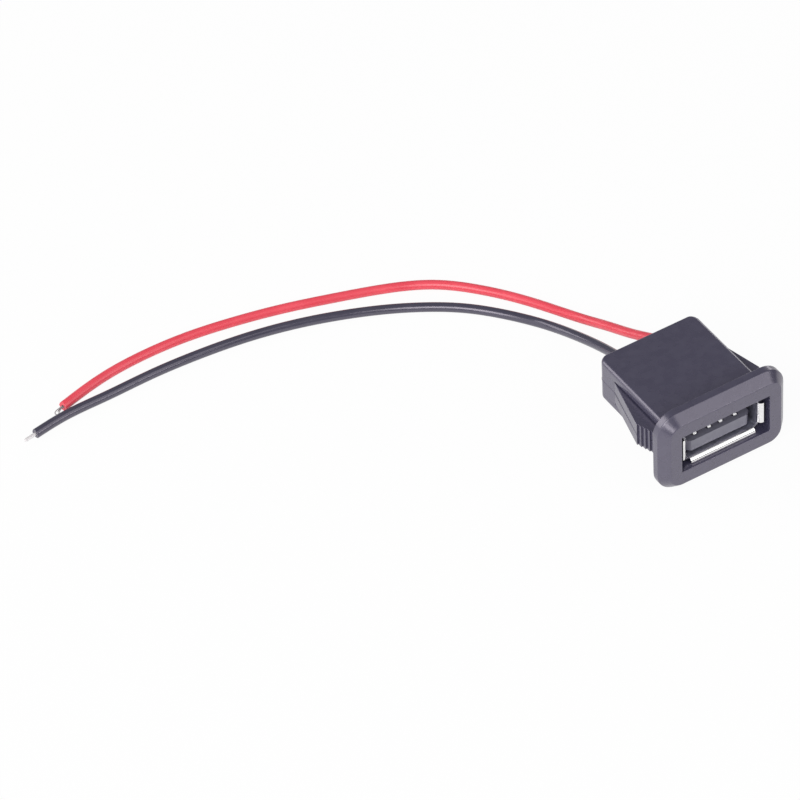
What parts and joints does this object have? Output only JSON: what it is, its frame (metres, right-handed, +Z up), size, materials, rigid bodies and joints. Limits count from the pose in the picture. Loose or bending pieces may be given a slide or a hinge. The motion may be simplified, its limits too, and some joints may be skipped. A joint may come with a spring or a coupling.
{
  "type": "usb-a socket cable",
  "caption": "Snap-in panel socket with a USB-A mouth in a bevelled bezel, barbed side arms, and a red and black power lead with stripped ends.",
  "frame": {"origin": "under the middle of the socket, on the plane that the bezel's lower edge and the wires lie on", "axes": "+Z up, the mouth faces -Y, the wires leave towards +Y, and +X is to the right of someone facing the mouth"},
  "size_m": [0.093, 0.07, 0.0143],
  "materials": {
    "housing_plastic": "fine satin moulding",
    "shell_steel": "bright plated sheet",
    "tongue_plastic": "satin",
    "contact_plating": "bright plating",
    "tin": "tinned",
    "red_insulation": "soft sheen",
    "black_insulation": "soft sheen"
  },
  "bodies": {
    "root": {"housing": "housing_plastic", "usb_shell": "shell_steel", "insulator": "tongue_plastic", "contact_power": "contact_plating", "contact_data_minus": "contact_plating", "contact_data_plus": "contact_plating", "contact_ground": "contact_plating", "red_solder_joint": "tin", "black_solder_joint": "tin", "red_wire": "red_insulation", "black_wire": "black_insulation", "red_wire_end": "tin", "black_wire_end": "tin"}
  },
  "joints": []
}
